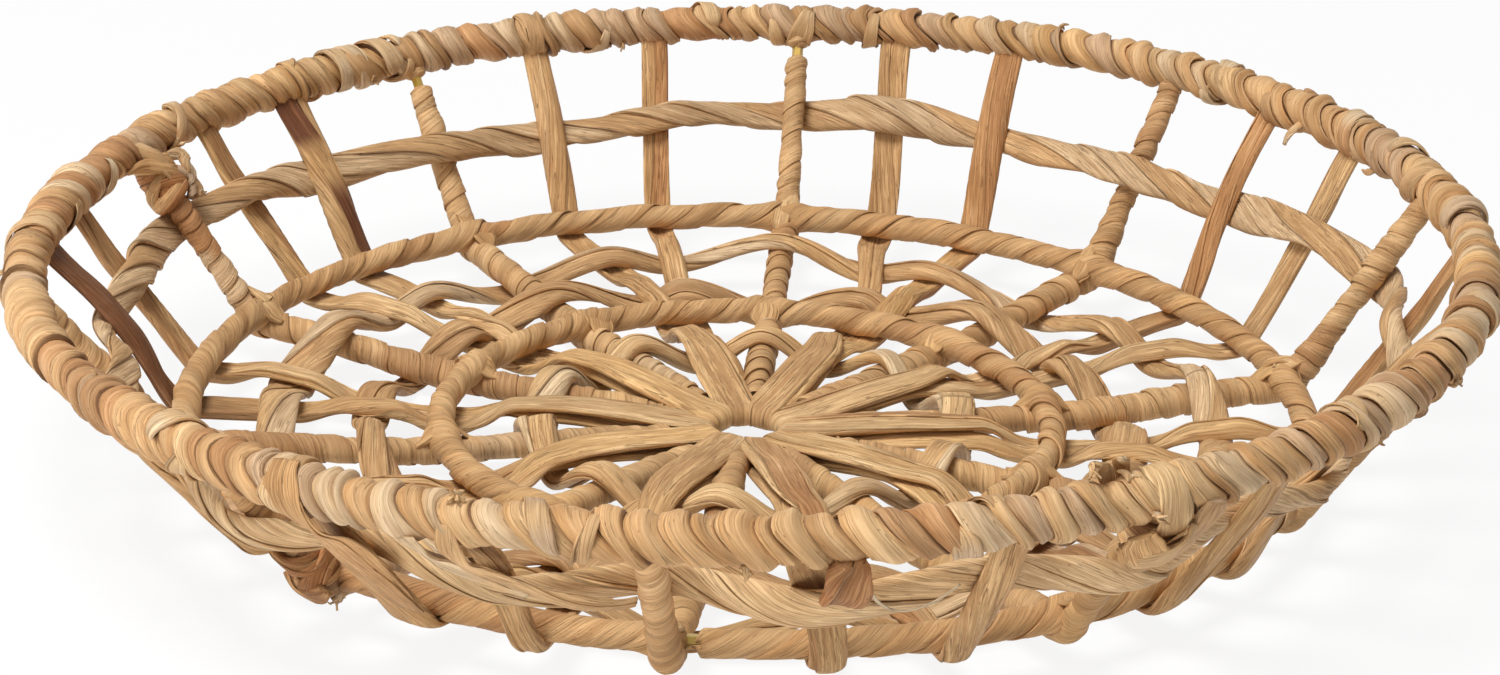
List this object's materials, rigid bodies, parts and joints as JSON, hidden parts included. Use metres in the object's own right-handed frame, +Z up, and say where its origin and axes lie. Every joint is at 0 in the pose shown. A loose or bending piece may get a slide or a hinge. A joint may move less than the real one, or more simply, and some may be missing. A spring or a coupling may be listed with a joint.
{
  "type": "storage basket",
  "caption": "Round, shallow open basket of dried leaf: a flared, lattice wall and a sagging base with a star of strands at its middle, woven on a frame of wound wire rings and ribs.",
  "frame": {"origin": "middle of the underside, on the surface that the basket stands on", "axes": "+Z up, out of the bowl; +Y towards the back of the pictured view; +X towards its right"},
  "size_m": [0.463, 0.463, 0.0881],
  "materials": {
    "lacquered_wire": "ochre lacquer, half gloss, hidden but for glimpses between the laps",
    "rim_leaf": "strips of dried leaf wound in overlapping turns, straw to tan, matt",
    "ring_leaf": "strips of dried leaf wound at a long slant, tan-brown, matt",
    "rib_leaf": "strips of dried leaf wound in short turns, tan-brown with darker turns, matt",
    "strand_leaf": "folded and loosely twisted dried leaf, yellow-tan to reddish brown, matt",
    "weaver_leaf": "flat, loosely twisted dried leaf, straw to tan with dark folds, matt",
    "knot_leaf": "knotted ends of dried leaf, brown, matt"
  },
  "bodies": {
    "root": {"rim_wire": "lacquered_wire", "base_ring_wire": "lacquered_wire", "inner_ring_wire": "lacquered_wire", "hub_ring_wire": "lacquered_wire", "rim_winding": "rim_leaf", "base_ring_winding": "ring_leaf", "inner_ring_winding": "ring_leaf", "rib_wire_01": "lacquered_wire", "rib_winding_01": "rib_leaf", "strand_01": "strand_leaf", "rib_wire_02": "lacquered_wire", "rib_winding_02": "rib_leaf", "strand_02": "strand_leaf", "rib_wire_03": "lacquered_wire", "rib_winding_03": "rib_leaf", "strand_03": "strand_leaf", "rib_wire_04": "lacquered_wire", "rib_winding_04": "rib_leaf", "strand_04": "strand_leaf", "rib_wire_05": "lacquered_wire", "rib_winding_05": "rib_leaf", "strand_05": "strand_leaf", "rib_wire_06": "lacquered_wire", "rib_winding_06": "rib_leaf", "strand_06": "strand_leaf", "rib_wire_07": "lacquered_wire", "rib_winding_07": "rib_leaf", "strand_07": "strand_leaf", "rib_wire_08": "lacquered_wire", "rib_winding_08": "rib_leaf", "strand_08": "strand_leaf", "rib_wire_09": "lacquered_wire", "rib_winding_09": "rib_leaf", "strand_09": "strand_leaf", "rib_wire_10": "lacquered_wire", "rib_winding_10": "rib_leaf", "strand_10": "strand_leaf", "wall_weaver": "weaver_leaf", "outer_base_weaver": "weaver_leaf", "inner_base_weaver": "weaver_leaf", "star_weaver": "weaver_leaf", "back_left_knot": "knot_leaf", "front_right_knot": "knot_leaf", "front_left_knot": "knot_leaf"}
  },
  "joints": []
}
